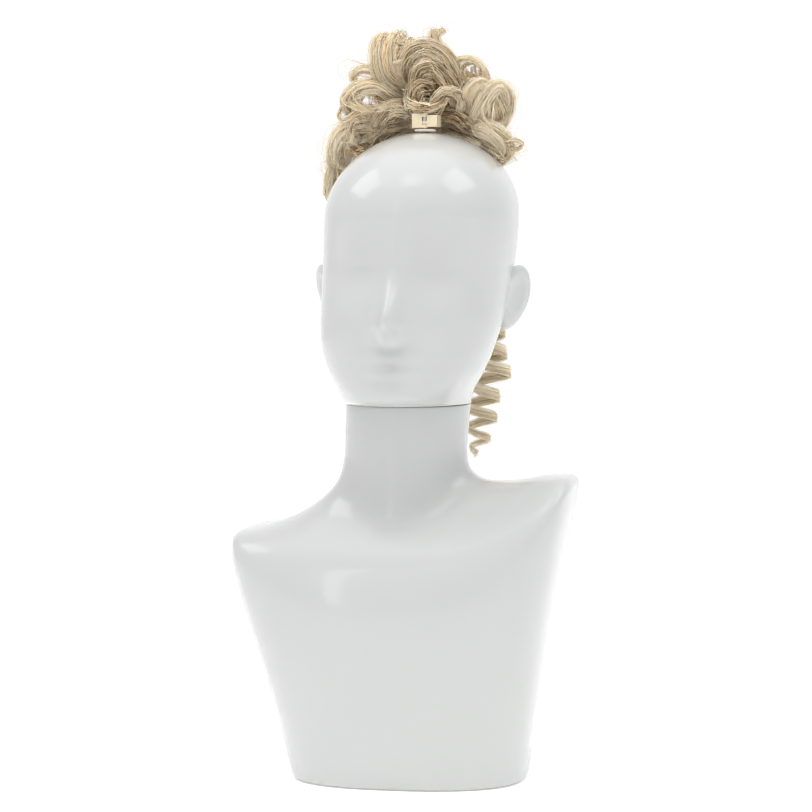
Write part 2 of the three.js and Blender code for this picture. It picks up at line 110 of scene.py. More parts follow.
class Look:
    """A material being wired: node() adds any node, and its surface goes to the output."""

    def __init__(self, name):
        self.material = bpy.data.materials.new(name)
        self.material.use_nodes = True
        self.tree = self.material.node_tree
        self.shader = self.tree.nodes["Principled BSDF"]
        self.output = self.tree.nodes["Material Output"]

    def node(self, kind, settings=None, out=0, **inputs):
        made = self.tree.nodes.new("ShaderNode" + kind)
        for key, value in (settings or {}).items():
            if key == "ramp":
                stops = made.color_ramp.elements
                while len(stops) < len(value):
                    stops.new(1.0)
                for stop, (place, colour) in zip(stops, value):
                    stop.position = place
                    stop.color = (*colour, 1.0)
            else:
                setattr(made, key, value)
        for key, value in inputs.items():
            self.feed(made.inputs[key.replace("_", " ")], value)
        return Sock(self.tree, made.outputs[out])

    def feed(self, slot, value):
        if isinstance(value, Sock):
            self.tree.links.new(value.socket, slot)
        elif slot.type == "RGBA" and len(value) == 3:
            slot.default_value = (*value, 1.0)
        else:
            slot.default_value = value

    def principled(self, **inputs):
        for key, value in inputs.items():
            self.feed(self.shader.inputs[key.replace("_", " ")], value)

    def place(self, scale=(1, 1, 1), source="Object"):
        """Object coordinates, or the piece's own UV map, stretched by scale."""
        made = self.tree.nodes.new("ShaderNodeTexCoord")
        coords = Sock(self.tree, made.outputs[source])
        return self.node("Mapping", Vector=coords, Scale=scale)

    def noise(self, at, scale, detail=3.0, roughness=0.55):
        return self.node("TexNoise", Vector=at, Scale=scale, Detail=detail, Roughness=roughness)

    def mix(self, factor, a, b):
        made = self.tree.nodes.new("ShaderNodeMix")
        made.data_type = "RGBA"
        self.feed(made.inputs["Factor"], factor)
        self.feed(made.inputs["A"], a)
        self.feed(made.inputs["B"], b)
        return Sock(self.tree, made.outputs["Result"])

    def bump(self, height, strength, distance, normal=None):
        made = self.tree.nodes.new("ShaderNodeBump")
        self.feed(made.inputs["Height"], height)
        made.inputs["Strength"].default_value = strength
        made.inputs["Distance"].default_value = distance
        if normal is not None:
            self.feed(made.inputs["Normal"], normal)
        return Sock(self.tree, made.outputs[0])


def shell_look(settings):
    look = Look("white_gloss_lacquer")
    at = look.place()
    cloud = look.noise(at, 9.0, 3.0)
    smudge = look.noise(at, 55.0, 4.0)
    orange_peel = look.noise(at, 260.0, 1.0)
    white = tuple(settings.shell_colour)
    warm = (white[0] * 0.985, white[1] * 0.975, white[2] * 0.955)
    look.principled(
        Base_Color=look.mix(cloud * 0.5, white, warm),
        Roughness=0.17 + smudge * 0.08,
        Coat_Weight=0.6,
        Coat_Roughness=0.05,
        Normal=look.bump(orange_peel, 0.05, 0.0004),
    )
    return look.material


def hair_look(name, tones):
    """Fibre colours from the strand's tone, which holds its own colour together with painted shade and painted
    highlights, with clumps lighter and darker.
    """
    look = Look(name)
    at = look.place()
    clump = look.noise(at, 150.0, 3.0)
    fibre = look.noise(at, 2600.0, 1.0)
    # The tone attribute carries painted shade and painted highlights as well as the strands' own colour.
    own = look.node("Attribute", {"attribute_name": "tone"}, out=2)
    tone = look.node(
        "ValToRGB",
        {"ramp": list(zip((0.05, 0.27, 0.5, 0.78), tones))},
        Fac=own * 1.0 + clump * 0.35 + fibre * 0.1 - 0.06,
    )
    look.principled(
        Base_Color=tone,
        Roughness=0.32 + 0.2 * fibre,
        Specular_IOR_Level=0.25,
    )
    return look.material


def plastic_look(name, colour, rough, grain=900.0, depth=0.0002):
    look = Look(name)
    at = look.place()
    cloud = look.noise(at, 70.0, 3.0)
    fine = look.noise(at, grain, 2.0)
    shade = tuple(c * 0.86 for c in colour)
    look.principled(
        Base_Color=look.mix(cloud, colour, shade),
        Roughness=rough + 0.14 * fine,
        Normal=look.bump(fine, 0.25, depth),
    )
    return look.material


def felt_look(name, colour):
    look = Look(name)
    at = look.place()
    fluff = look.noise(at, 1500.0, 4.0, 0.7)
    patch = look.noise(at, 60.0, 2.0)
    bright = tuple(min(1.0, c * 2.2 + 0.02) for c in colour)
    look.principled(
        Base_Color=look.mix(fluff * patch * 2.0, colour, bright),
        Roughness=0.9,
        Sheen_Weight=0.3,
        Normal=look.bump(fluff, 0.6, 0.0006),
    )
    return look.material


def wood_look(name):
    look = Look(name)
    at = look.place((1.0, 1.0, 9.0))
    chip = look.noise(at, 420.0, 4.0, 0.7)
    band = look.noise(at, 18.0, 2.0)
    tone = look.node(
        "ValToRGB",
        {"ramp": [(0.3, (0.3, 0.19, 0.09)), (0.5, (0.47, 0.33, 0.18)), (0.75, (0.6, 0.46, 0.28))]},
        Fac=chip * 0.65 + band * 0.35,
    )
    look.principled(Base_Color=tone, Roughness=0.7 + 0.2 * chip, Normal=look.bump(chip, 0.4, 0.0004))
    return look.material


def steel_look(name):
    look = Look(name)
    at = look.place((1.0, 1.0, 16.0))
    brush = look.noise(at, 700.0, 3.0)
    bloom = look.noise(look.place(), 90.0, 2.0)
    look.principled(
        Base_Color=look.mix(bloom, (0.55, 0.56, 0.57), (0.68, 0.68, 0.67)),
        Metallic=1.0,
        Roughness=0.22 + 0.2 * brush,
        Normal=look.bump(brush, 0.2, 0.0001),
    )
    return look.material


# ---- curves ----
def along(rows, t):
    """Uniform Catmull-Rom through rows of numbers, t from 0 to the last row."""
    i = min(int(t), len(rows) - 2)
    f = t - i
    a, b, d, e = (rows[max(0, min(len(rows) - 1, k))] for k in (i - 1, i, i + 1, i + 2))
    return [
        0.5 * (2 * q + (r - p) * f + (2 * p - 5 * q + 4 * r - s) * f * f + (3 * q - p - 3 * r + s) * f**3)
        for p, q, r, s in zip(a, b, d, e)
    ]


def power(value, exponent):
    return math.copysign(abs(value) ** exponent, value)


def hill(distance, width):
    return math.exp(-0.5 * (distance / width) ** 2)


LEAN = 0.061
LEAN_FROM = 254.0
EASE = 12.0


def lean_at(z):
    above = max(0.0, z - LEAN_FROM)
    return LEAN * above * above / (above + EASE)


# ---- bust form, millimetres ----
# Half-width on its left and right, front and back depth, height on its left, right, front
# and back, and plan squareness, from the rim up to the end of the neck.
NECK_R = 48.4
RIM = 0.6
BUST = [
    [94, 87, 70, 70, RIM, RIM, RIM, RIM, 2.5],
    [97.5, 90, 73, 73, 7, 7, 7, 7, 2.5],
    [104.6, 100.6, 78, 76, 47, 47, 45, 47, 2.6],
    [111, 111, 84, 79, 85, 85, 80, 90, 2.8],
    [118, 122, 88.5, 81, 130, 125, 115, 130, 3.1],
    [125.8, 130.6, 88.5, 81, 174, 160, 145, 165, 3.4],
    [133.4, 133.6, 84, 78, 220, 181, 167, 188, 3.6],
    [132.5, 130.5, 77, 73, 238, 193, 181, 199, 3.4],
    [112, 108, 68, 67, 239.4, 198.6, 191, 207, 2.8],
    [86, 84, 60, 60, 235.2, 207.5, 198, 216, 2.4],
    [64, 65, 53.5, 54, 235.2, 220.5, 204, 226, 2.1],
    [51.5, 53, 49.6, 50, 243, 235, 216, 239, 2],
    [NECK_R, NECK_R, NECK_R, NECK_R, 256, 254, 240, 256, 2],
    [NECK_R, NECK_R, NECK_R, NECK_R, 275, 275, 268, 275, 2],
    [NECK_R + 0.6] * 4 + [SEAM_Z + 0.25] * 4 + [2],
]


def bust_point(t, turn):
    left, right, front, back, z_left, z_right, z_front, z_back, square = along(BUST, t)
    c, s = math.cos(turn), math.sin(turn)
    x = (left if c > 0 else right) * power(c, 2 / square)
    y = (back if s > 0 else front) * power(s, 2 / square)
    z = (z_left if c > 0 else z_right) * c * c + (z_back if s > 0 else z_front) * s * s
    return Vector((x + lean_at(z), y, z))


# ---- head form, millimetres ----
# Height, half-width, front and back depth, and where the widest point lies.
HEAD = [
    [HEAD_Z, NECK_R + 0.6, NECK_R + 0.6, NECK_R + 0.6, 0],
    [295.6, 49.2, 70, 50, -1],
    [298.5, 49.6, 84, 51.5, -3],
    [304, 51.2, 89, 54, -6],
    [312, 55, 90.4, 58.5, -10],
    [321, 59.8, 89.5, 64, -13],
    [331, 63.8, 89, 71, -14],
    [343, 67, 89, 78, -13],
    [357, 69.8, 88.5, 85, -6],
    [375, 72, 88, 91, 5],
    [393, 73.4, 88.3, 94.5, 12],
    [412, 74.4, 90, 96, 16],
    [430, 75, 92.2, 95.6, 17],
    [440, 75, 93, 95, 16],
]
DOME_Z = 440.0
DOME_H = 65.8


def relief(x, z):
    """Forward relief of the face at x across and z up."""
    side = abs(x)
    nose = hill(z - 362, 18 if z > 362 else 9) * (11 * hill(x, 11) + 13 * hill(x, 5.2))
    wings = 1.6 * hill(side - 8, 4.5) * hill(z - 355, 7)
    keel = 2.6 * hill(x, 6.5) * hill(z - 415, 32)
    socket = -8 * hill(side - 28, 15) * hill(z - 402, 17)
    cheek = 2.6 * hill(side - 44, 14) * hill(z - 368, 13)
    upper_lip = 2.8 * hill(x, 14) * hill(z - 334.5, 4.5)
    lower_lip = 3 * hill(x, 12) * hill(z - 322.5, 4.5)
    chin = 1.6 * hill(x, 13) * hill(z - 305.5, 6)
    return nose + wings + keel + socket + cheek + upper_lip + lower_lip + chin


def head_point(t, turn):
    last = len(HEAD) - 1
    if t <= last:
        z, half, front, back, middle = along(HEAD, t)
    else:
        rise = (t - last) * math.pi / 2
        _, w, f, b, m = HEAD[-1]
        taper = math.cos(rise)
        z = DOME_Z + DOME_H * math.sin(rise)
        half = w * taper
        middle = 6 + (m - 6) * taper
        front = (f + m) * taper - middle
        back = (b - m) * taper + middle
    c, s = math.cos(turn), math.sin(turn)
    x = half * power(c, 0.94)
    y = middle + (back - middle if s > 0 else front + middle) * power(s, 0.94)
    if s < 0:
        y -= relief(x, z) * min(1.0, s * s * 1.6)
    return Vector((x + lean_at(z), y, z))


# ---- ears, millimetres ----
EAR = {"x": 73.8, "y": 28, "z": 377, "tall": 26.5, "deep": 17, "thick": 5, "flare": 0.62, "tilt": 0.12,
    "splay": 0.3}


def ear_matrix(side):
    spot = Matrix.Translation((side * EAR["x"] + lean_at(EAR["z"]), EAR["y"], EAR["z"]))
    turned = spot @ Matrix.Rotation(-side * EAR["flare"], 4, "Z") @ Matrix.Rotation(EAR["tilt"], 4, "X")
    return turned @ Matrix.Rotation(side * EAR["splay"], 4, "Y")


def ear_point(unit, side):
    """A point of the leaf-shaped ear for a point of the unit sphere; its outer face looks along side x."""
    out = unit.x * side
    reach = math.hypot(unit.y, unit.z)
    bowl = 2.6 * max(0.0, 1 - ((unit.y + 0.08) / 0.6) ** 2 - ((unit.z - 0.12) / 0.6) ** 2)
    rim = 0.9 * hill(reach - 0.84, 0.09)
    lobe = max(0.0, -unit.z - 0.2)
    x = EAR["thick"] * out
    if out > 0:
        x += rim * (1 - 0.8 * lobe) - bowl * out**0.5
    y = EAR["deep"] * unit.y * (1 + 0.12 * unit.z) - 3.0 * lobe
    return Vector((side * x, y, EAR["tall"] * unit.z))


# ---- piece helpers ----
def finish_piece(name, mesh_source, material, body, replaced=(), smooth=True):
    """Turns a bmesh or mesh into a named piece of the object."""
    if isinstance(mesh_source, bmesh.types.BMesh):
        mesh = bpy.data.meshes.new(name)
        mesh_source.to_mesh(mesh)
        mesh_source.free()
    else:
        mesh = mesh_source
    piece = bpy.data.objects.new(name, mesh)
    bpy.context.scene.collection.objects.link(piece)
    for face in mesh.polygons:
        face.use_smooth = smooth
    mesh.materials.clear()
    mesh.materials.append(material)
    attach(piece, body)
    if replaced:
        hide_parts(*replaced)
    return piece


def material(name):
    return bpy.data.materials[name]


def wall_of(point, inward):
    """A point function for the inner face of a wall, from the outer face's own slope."""

    def inner(t, turn):
        step = 0.02
        across = point(t, turn + step) - point(t, turn - step)
        up = point(t + step, turn) - point(t - step, turn)
        return point(t, turn) - across.cross(up).normalized() * inward

    return inner


# ---- hair ----
# A piece is closed once it holds this many triangles, and the next strands start another.
MOST_TRIANGLES = 170000
# Fine strands drawn for each one counted in a lock, and the share of them that the thicker strands are.
FINE_SHARE = 1.7
THICK_SHARE = 3
# Strands in a filling curl, and the radii in millimetres of the thicker strands that give a lock its body; these
# thicker strands are painted darker, as shade between the strands.
FILL_FINE, FILL_THICK = 56, 12
THICK_RADIUS, TAIL_THICK_RADIUS = 0.5, 0.6


def smooth_path(points, step):
    """Evenly stepped points along a smooth curve through the given points."""
    count = len(points) - 1
    raw = [Vector(along(points, k / 12)) for k in range(count * 12)] + [Vector(points[-1])]
    length = [0.0]
    for a, b in zip(raw, raw[1:]):
        length.append(length[-1] + (b - a).length)
    steps = max(4, round(length[-1] / step))
    path = []
    k = 0
    for i in range(steps + 1):
        want = length[-1] * i / steps
        while k < len(raw) - 2 and length[k + 1] < want:
            k += 1
        span = length[k + 1] - length[k] or 1.0
        path.append(raw[k].lerp(raw[k + 1], min(1.0, (want - length[k]) / span)))
    return path


def axes_along(path, wide=None, face=None):
    """Across and through directions of a ribbon on the path."""
    out = []
    before = None
    for i in range(len(path)):
        tangent = (path[min(i + 1, len(path) - 1)] - path[max(i - 1, 0)]).normalized()
        if wide is not None:
            across = wide - tangent * wide.dot(tangent)
        else:
            across = tangent.cross(face)
        if across.length < 0.25 and before is not None:
            across = before - tangent * before.dot(tangent)
        across.normalize()
        if before is not None and across.dot(before) < 0:
            across.negate()
        before = across
        out.append((across, tangent.cross(across).normalized()))
    return out


# Places where little light gets in between the locks: centre, size and depth of shade.
HOLLOWS = [
    ((15, 9, 519), 11, 0.85), ((4, 10, 546), 8, 0.85), ((-10, 22, 514), 9, 0.85), ((33, 14, 519), 9, 0.85),
    ((-32, 24, 527), 7, 0.3), ((38, 22, 545), 6, 0.25), ((15, 46, 530), 20, 0.4), ((60, 26, 520), 6, 0.25),
]


def ribbon_strands(draw, points, width, thick, count, step=4.0, wide=None, face=None, loose=2.0, root=0.75,
    tip=0.6,
                   stray=0.12, shade=0.0):
    """Strands of one lock, each with its tone, which carries painted shade and a painted highlight as well as its
    own colour: they keep their places across a flattened round section.
    """
    path = smooth_path([[float(v) for v in p] for p in points], step)
    shade += draw.uniform(-0.1, 0.1)
    axes = axes_along(path, Vector(wide) if wide else None, Vector(face) if face else None)
    wisps = []
    for _ in range(max(5, count // 12)):
        angle = draw.uniform(0, math.tau)
        reach = draw.random() ** 0.45
        wisps.append((math.cos(angle) * reach, math.sin(angle) * reach, draw.uniform(0, 100), draw.gauss(0,
            0.2)))
    strands = []
    for _ in range(count):
        a, b, phase, own = draw.choice(wisps)
        a += draw.gauss(0, 0.16)
        b += draw.gauss(0, 0.3)
        reach = min(1.2, math.hypot(a, b))
        phase += draw.uniform(0, 0.35)
        wild = draw.random() < stray
        swing = loose * (draw.uniform(3.0, 8.0) if wild else draw.uniform(0.8, 1.3))
        first = 0 if draw.random() < 0.75 else draw.randint(0, len(path) // 5)
        last = len(path) - (0 if draw.random() < 0.5 else draw.randint(0, len(path) // 5))
        strand = []
        for i in range(first, last):
            f = i / (len(path) - 1)
            spread = root + (1 - root) * min(1.0, f * 4) - (1 - tip) * max(0.0, f * 4 - 3)
            across, through = axes[i]
            drift = noise.noise_vector(Vector((phase, f * 3.2, 0.0))) * swing * (0.3 + 1.5 * f)
            drift += noise.noise_vector(Vector((phase, f * 14.0, 7.0))) * 0.35
            strand.append(path[i] + across * (a * width / 2 * spread) + through * (b * thick / 2 * spread) + drift)
        if len(strand) > 3:
            # Painted shade: strands nearer the middle of the lock are darker; stray strands are lighter.
            tone = draw.gauss(0.6 + 0.2 * reach + (0.12 if wild else 0.0) + shade + own, 0.09)
            # Painted highlight: each strand is lighter round one random point along it.
            painted_glint_at = draw.uniform(0.3, 0.7)
            tones = []
            for i in range(first, last):
                f = i / (len(path) - 1)
                # Painted shade: fibres near the hollows are darkened.
                near = sum(depth * hill((path[i] - Vector(spot)).length, size) for spot, size,
                    depth in HOLLOWS)
                tones.append(tone - near + 0.2 * hill(f - painted_glint_at, 0.16) - 0.06)
            strands.append((tones, strand))
    return strands


def wrap_curls(draw, node, count, strands, width=8.0, shade=0.0, grow=0.92):
    """Filling curls that wind round the outside of one mass of hair."""
    low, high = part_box(node)
    middle = (low + high) / 2 / MM
    half = (high - low) / 2 / MM * grow
    made = []
    for _ in range(count):
        pole = Vector((draw.gauss(0, 1), draw.gauss(0, 1), draw.gauss(0, 0.6))).normalized()
        side = pole.orthogonal().normalized()
        other = pole.cross(side)
        start = draw.uniform(0, math.tau)
        sweep = draw.uniform(2.4, 4.6)
        rise = draw.uniform(-0.35, 0.35)
        points = []
        for k in range(9):
            f = k / 8
            angle = start + sweep * f
            shrink = 1.0 - 0.45 * f
            way = (side * math.cos(angle) + other * math.sin(angle)) * shrink + pole * (rise + 0.5 * f)
            spot = middle + Vector((way.x * half.x, way.y * half.y, way.z * half.z))
            points.append(tuple(spot))
        wide = tuple(pole)
        made += ribbon_strands(draw, points, width * draw.uniform(0.7, 1.2), 3.0, strands, wide=wide,
            shade=shade)
    return made


def strand_mesh(name, strands, radius, sides=3):
    """Closed thin tubes along the strands, thinner towards the tip, as one mesh with a tone per strand."""
    outline = bpy.data.curves.new(name + "_section", "CURVE")
    ring = outline.splines.new("POLY")
    ring.points.add(sides - 1)
    for k, point in enumerate(ring.points):
        angle = math.tau * k / sides
        point.co = (radius * MM * math.cos(angle), radius * MM * math.sin(angle), 0, 1)
    ring.use_cyclic_u = True
    section = bpy.data.objects.new(name + "_section", outline)
    curve = bpy.data.curves.new(name, "CURVE")
    curve.dimensions = "3D"
    curve.bevel_mode = "OBJECT"
    curve.bevel_object = section
    curve.use_fill_caps = True
    for _, strand in strands:
        spline = curve.splines.new("POLY")
        spline.points.add(len(strand) - 1)
        flat = []
        for p in strand:
            flat.extend((p.x * MM, p.y * MM, p.z * MM, 1.0))
        spline.points.foreach_set("co", flat)
        last = len(strand) - 1
        spline.points.foreach_set("radius", [1.0 - 0.6 * max(0.0,
            (i / last - 0.6) / 0.4) for i in range(last + 1)])
    holder = bpy.data.objects.new(name, curve)
    scene = bpy.context.scene
    scene.collection.objects.link(section)
    scene.collection.objects.link(holder)
    bpy.context.view_layer.update()
    mesh = bpy.data.meshes.new_from_object(holder.evaluated_get(bpy.context.evaluated_depsgraph_get()))
    bpy.data.objects.remove(holder)
    bpy.data.objects.remove(section)
    bpy.data.curves.remove(curve)
    bpy.data.curves.remove(outline)
    tones = []
    for own, _ in strands:
        for tone in [*own, own[0], own[-1]]:
            tones.extend([tone] * sides)
    layer = mesh.attributes.new("tone", "FLOAT", "POINT")
    if len(tones) != len(mesh.vertices):
        raise ValueError(f"{name}: {len(tones)} tones for {len(mesh.vertices)} vertices")
    layer.data.foreach_set("value", tones)
    return mesh


def finish_strands(name, strands, radius, node=None):
    """Makes the strands into as many pieces as keep each one light; the first stands for the node."""
    share = []
    total = number = 0
    for k, strand in enumerate(strands):
        share.append(strand)
        total += 6 * len(strand[1]) + 2
        if total > MOST_TRIANGLES or k == len(strands) - 1:
            part = f"{name}_{number + 1}" if number or k < len(strands) - 1 else name
            mesh = strand_mesh(part, share, radius)
            replaced = [node] if node and not number else []
            finish_piece(part, mesh, material("ash_blonde_fibre"), "hairpiece", replaced)
            share = []
            total = 0
            number += 1


# Each lock: points (x, y, z), width, thickness, fine strands, and the way it lies:
# wide is the direction of its width, face the direction its flat side looks.
VIEW = (0.19, -0.98, 0.05)
LOCKS = {
    "curl_roll": [
        dict(points=[(4, 30, 540), (-8, 16, 545), (-17, 5, 554), (-19, 4, 568), (-17, 14, 580),
                     (-15, 27, 582),
                     (-14, 34, 573), (-14, 28, 562),
                         (-14, 20, 563)], width=21, thick=6, count=150, wide=(1, 0.1, 0.1)),
        dict(points=[(2, 26, 548), (-6, 18, 556), (-8, 14, 568), (-6, 20, 578), (-2, 28, 578), (0, 33, 568)],
             width=13, thick=5, count=90, wide=(1, 0.2, -0.1)),
    ],
    "curl_arch": [
        dict(points=[(2, 18, 541), (-4, 10, 552), (2, 6, 566), (14, 5, 571), (27, 7, 566), (35, 12, 553),
                     (41, 16, 538),
                     (45, 18, 524)], width=19, thick=7, count=190, face=VIEW),
        dict(points=[(8, 16, 536), (6, 8, 545), (10, 3, 554), (20, 3, 556), (29, 7, 548), (35, 12, 535),
                     (38, 16, 522)],
             width=12, thick=6, count=110, face=VIEW),
    ],
    "curl_top": [
        dict(points=[(30, 30, 548), (28, 28, 560), (23, 26, 572), (19, 25, 582), (20, 28, 587),
                     (24, 32, 584)],
             width=12, thick=4, count=80, wide=(1, 0.2, 0.25), tip=0.8),
    ],
    "curl_loop": [
        dict(points=[(30, 24, 546), (34, 18, 558), (42, 14, 565), (52, 14, 564), (58, 18, 556), (56, 22, 546),
                     (48, 24, 541), (41, 24, 546)], width=7, thick=3, count=70, wide=(0.2, 1, 0)),
        dict(points=[(33, 28, 540), (37, 26, 553), (46, 26, 561), (55, 28, 558), (58, 30, 548),
                     (54, 32, 537)],
             width=7, thick=3, count=60, wide=(0.2, 1, 0.2)),
    ],
    "curl_left": [
        dict(points=[(36, 30, 514), (42, 16, 522), (48, 8, 534), (56, 8, 543), (62, 16, 540), (64, 26, 530),
                     (60, 32, 520)],
             width=13, thick=6, count=120, face=(0.4, -0.9, 0.2)),
        dict(points=[(44, 30, 510), (52, 17, 517), (60, 11, 530), (69, 13, 541), (75, 21, 537),
                     (76, 28, 525), (72, 33, 513)],
             width=12, thick=6, count=120, face=(0.3, -0.9, 0.1)),
    ],
    "curl_low_left": [
        dict(points=[(38, 36, 512), (50, 20, 512), (62, 13, 509), (72, 17, 502), (75, 27, 493),
                     (70, 36, 486), (62, 40, 484)],
             width=14, thick=8, count=140, face=(0.3, -0.95, 0.1)),
        dict(points=[(60, 22, 505), (72, 20, 500), (83, 19, 500), (89, 21, 497), (85, 25, 493),
                     (74, 28, 492), (66, 32, 492)],
             width=4.5, thick=2.2, count=40, wide=(0.1, 0.4, 1)),
    ],
    "curl_right": [
        dict(points=[(0, 30, 528), (-12, 18, 534), (-24, 10, 542), (-38, 10, 541), (-50, 16, 532),
                     (-47, 24, 522), (-36, 28, 519)],
             width=13, thick=7, count=140, face=(-0.2, -0.95, 0.1)),
        dict(points=[(-4, 28, 534), (-16, 20, 546), (-28, 16, 555), (-40, 16, 556), (-46, 20, 549),
                     (-40, 24, 542)],
             width=7, thick=4, count=70, face=(-0.2, -0.95, 0.2)),
        dict(points=[(-6, 26, 524), (-22, 14, 527), (-38, 10, 524), (-52, 14, 516), (-58, 20, 520),
                     (-55, 22, 528)],
             width=4, thick=2, count=26, face=(-0.2, -0.95, 0.2)),
    ],
    "curl_low_right": [
        dict(points=[(-6, 30, 516), (-20, 22, 514), (-34, 18, 516), (-44, 22, 514), (-48, 30, 504),
                     (-44, 38, 494), (-38, 44, 490)],
             width=17, thick=8, count=160, face=(-0.3, -0.95, 0.1)),
        dict(points=[(-28, 34, 514), (-42, 29, 514), (-55, 29, 509), (-64, 35, 498), (-66, 44, 486),
                     (-61, 52, 478)],
             width=13, thick=7, count=110, face=(-0.4, -0.9, 0.2)),
        dict(points=[(-34, 40, 508), (-50, 37, 509), (-63, 40, 502), (-70, 48, 490), (-69, 57, 478),
                     (-62, 61, 472), (-59, 58, 480)],
             width=10, thick=6, count=90, face=(-0.6, -0.8, 0.1)),
        dict(points=[(-18, 32, 512), (-36, 28, 508), (-50, 30, 505), (-59, 38, 496), (-60, 48, 484),
                     (-54, 55, 478)],
             width=14, thick=8, count=130, face=(-0.5, -0.85, 0.2)),
    ],
    "hair_side_right": [
        dict(points=[(-44, 46, 500), (-58, 50, 494), (-68, 58, 484), (-72, 64, 474), (-66, 70, 466),
                     (-64, 70, 457), (-69, 66, 448)],
             width=11, thick=7, count=100, face=(-0.8, -0.5, 0)),
        dict(points=[(-40, 56, 500), (-56, 62, 492), (-70, 66, 478), (-73, 70, 464), (-66, 74, 456),
                     (-62, 74, 446)],
             width=10, thick=6, count=80, face=(-0.8, -0.5, 0)),
    ],
    "hair_core": [
        dict(points=[(-26, 30, 500), (-12, 27, 508), (4, 26, 514), (18, 27, 517), (34, 26, 514),
                     (48, 27, 507), (58, 30, 499)],
             width=15, thick=7, count=150, wide=(0, 0.25, 1), shade=-0.22),
        dict(points=[(2, 25, 523), (-10, 20, 521), (-18, 18, 515), (-26, 20, 508), (-34, 24, 501)],
             width=9, thick=5, count=110, wide=(0.3, 0.2, 1), shade=-0.05),
        dict(points=[(30, 24, 522), (42, 18, 519), (50, 18, 512), (57, 22, 505), (63, 26, 498)],
             width=9, thick=5, count=110, wide=(-0.3, 0.2, 1), shade=-0.1),
        dict(points=[(6, 2, 523.5), (12, -3, 524), (19, -4, 525), (26, -2, 528), (31, 3, 534), (30, 8, 541)],
             width=6, thick=4, count=90, wide=(0, 0.1, 1)),
        dict(points=[(24, 0, 524.5), (17, -5, 525.5), (9, -4, 527), (3, 0, 531), (1, 5, 538)],
             width=6, thick=4, count=90, wide=(0, 0.1, 1)),
        dict(points=[(8, 10, 521), (4, 4, 529), (7, 0, 539), (15, 1, 543),
                     (19, 8, 537)], width=12, thick=6, count=110, face=VIEW),
        dict(points=[(20, 8, 521), (25, 2, 529), (31, 0, 536), (38, 4, 534), (41, 12, 526), (37, 20, 519)],
             width=11, thick=6, count=110, face=VIEW),
        dict(points=[(12, 16, 520), (-2, 10, 524), (-14, 8, 524), (-24, 12, 516), (-30, 22, 506)],
             width=12, thick=5, count=110, face=VIEW),
        dict(points=[(22, 14, 520), (34, 10, 520), (44, 12, 514),
                     (50, 20, 506)], width=11, thick=6, count=90, face=VIEW),
        dict(points=[(15, 20, 518), (15, 34, 530), (12, 42, 545), (14, 50, 555), (18, 60, 550),
                     (18, 66, 538)],
             width=44, thick=14, count=190, wide=(1, 0, 0)),
        dict(points=[(12, 22, 516), (-8, 30, 522), (-24, 38, 520), (-34, 50, 512), (-36, 62, 500)],
             width=24, thick=12, count=150, wide=(0.3, 0.4, 1)),
        dict(points=[(18, 22, 516), (36, 30, 520), (50, 38, 516), (58, 50, 506), (56, 62, 494)],
             width=22, thick=12, count=150, wide=(-0.3, 0.4, 1)),
    ],
    "curl_back": [
        dict(points=[(10 + dx, 52, 532 + dz), (10 + dx * 1.3, 66, 548 + dz), (10 + dx * 1.6, 84, 552 + dz),
                     (10 + dx * 1.7, 98, 538 + dz), (10 + dx * 1.7, 96, 522), (10 + dx * 1.5, 84, 516),
                         (10 + dx * 1.3, 82, 526)],
             width=17, thick=7, count=85, wide=(1, 0.1, 0.1))
        for dx, dz in ((-22, -8), (-8, 2), (8, 0), (22, -6))
    ],
}


FILL = {"hair_core": 12, "curl_back": 10, "curl_left": 8, "curl_top": 0, "curl_loop": 1, "curl_roll": 3,
    "curl_arch": 4}


def corkscrew(x, y, top, bottom, radius, turns, phase=0.0, lean=(0.0, 0.0)):
    """Points of a hanging spiral curl, tighter at its end."""
    count = max(8, round(turns * 9))
    points = []
    for k in range(count + 1):
        f = k / count
        angle = phase + math.tau * turns * f
        r = radius * (0.75 + 0.35 * math.sin(math.pi * min(1, f * 1.4))) * (1 - 0.45 * max(0, f - 0.7) / 0.3)
        points.append((
            x + lean[0] * f + r * math.cos(angle),
            y + lean[1] * f + r * math.sin(angle),
            top + (bottom - top) * f,
        ))
    return points


# ---- settings ----
# The ringlet's coil: centre x, y, z and radius, at even steps down it.
RINGLET = [
    [54, 110, 362, 6], [53, 109, 348, 7], [52, 109, 333, 8], [55, 109, 318, 13], [43, 108, 302, 9],
    [46, 108, 286, 15], [39, 107, 270, 8], [41, 107, 256, 7.5], [34, 106, 246, 3],
]


class BustSettings(bpy.types.PropertyGroup):
    """Sizes and colours of the shells."""

    shell_colour: FloatVectorProperty(
        name="Shell Colour", description="Base colour of the lacquered shells",
        subtype="COLOR", size=3, default=(0.56, 0.57, 0.567), min=0.0, max=1.0,
    )
    wall: FloatProperty(
        name="Wall", description="Thickness of the moulded wall",
        default=3.2 * MM, min=0.001, unit="LENGTH",
    )
    sides: IntProperty(name="Sides", description="Columns of faces round each shell", default=240, min=48)


class HairSettings(bpy.types.PropertyGroup):
    """Sizes and colours of the hairpiece."""

    light: FloatVectorProperty(
        name="Light Fibre", description="Colour of the lightest fibres",
        subtype="COLOR", size=3, default=(1.0, 0.9, 0.7), min=0.0, max=1.0,
    )
    blond: FloatVectorProperty(
        name="Blond Fibre", description="Colour of most fibres",
        subtype="COLOR", size=3, default=(0.95, 0.74, 0.45), min=0.0, max=1.0,
    )
    brown: FloatVectorProperty(
        name="Brown Fibre", description="Colour of the shaded fibres",
        subtype="COLOR", size=3, default=(0.6, 0.40, 0.195), min=0.0, max=1.0,
    )
    dark: FloatVectorProperty(
        name="Dark Fibre", description="Colour of the darkest fibres",
        subtype="COLOR", size=3, default=(0.17, 0.095, 0.04), min=0.0, max=1.0,
    )
    fibre: FloatProperty(
        name="Fibre Radius", description="Radius of a drawn strand",
        default=0.17 * MM, min=0.00002, unit="LENGTH",
    )
    strands: FloatProperty(name="Strand Share", description="Share of the full number of strands",
        default=1.0, min=0.05)


